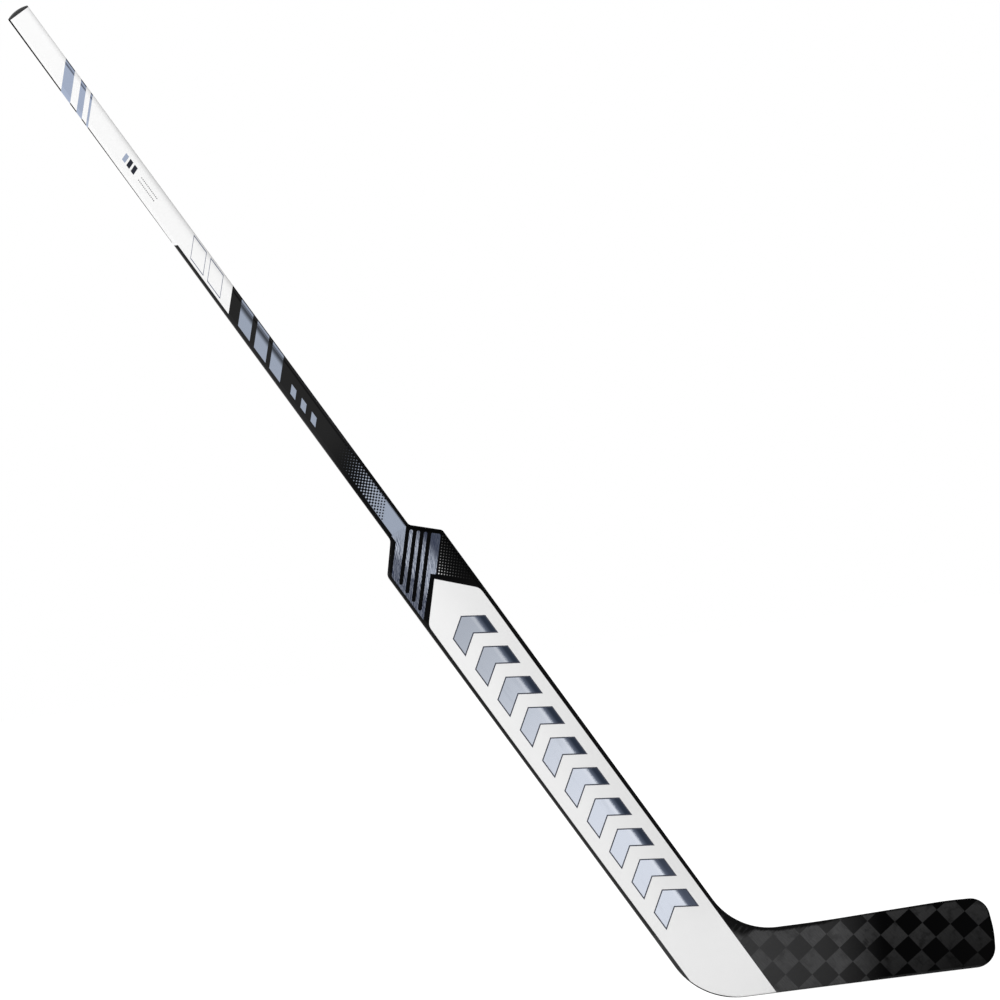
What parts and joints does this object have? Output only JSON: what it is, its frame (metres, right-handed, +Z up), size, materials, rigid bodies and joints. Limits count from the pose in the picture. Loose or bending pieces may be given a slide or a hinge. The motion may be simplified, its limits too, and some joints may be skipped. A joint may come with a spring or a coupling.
{
  "type": "ice hockey goalkeeper stick",
  "caption": "Composite ice hockey goalkeeper's stick: rectangular shaft, broad flat paddle with a ribbed grip on its shoulder, and a long curved blade.",
  "frame": {"origin": "on the ice, where the heel's curve meets the flat sole, midway between the blade's two faces", "axes": "+Z up with the sole flat on Z = 0 in playing position, +X along the blade to the toe, -Y out of the playing face; the shaft rises towards -X at the lie angle of 61 degrees"},
  "size_m": [1.0623, 0.0558, 1.3248],
  "materials": {
    "shaft_paint": "gloss",
    "paddle_paint": "gloss",
    "blade_paint": "gloss",
    "grip_slate": "satin",
    "plug_rubber": "matte",
    "insert_plastic": "matte",
    "block_plastic": "matte",
    "carbon_inner": "matte",
    "foam": "matte"
  },
  "bodies": {
    "root": {"shaft_tube": "shaft_paint", "end_plug": "plug_rubber", "neck_insert": "insert_plastic", "paddle_spar": "carbon_inner", "spar_core": "foam", "paddle_rail_heel_side": "paddle_paint", "paddle_rail_toe_side": "paddle_paint", "paddle_skin_front": "paddle_paint", "paddle_skin_back": "paddle_paint", "paddle_core_heel_side": "foam", "paddle_core_toe_side": "foam", "shoulder_block_heel_side": "block_plastic", "shoulder_block_toe_side": "block_plastic", "grip_bars_front": "grip_slate", "grip_bars_back": "grip_slate", "blade_rim": "blade_paint", "blade_skin_front": "blade_paint", "blade_skin_back": "blade_paint", "heel_block": "foam", "blade_core_lower": "foam", "blade_rib": "carbon_inner", "blade_core_upper": "foam"}
  },
  "joints": []
}
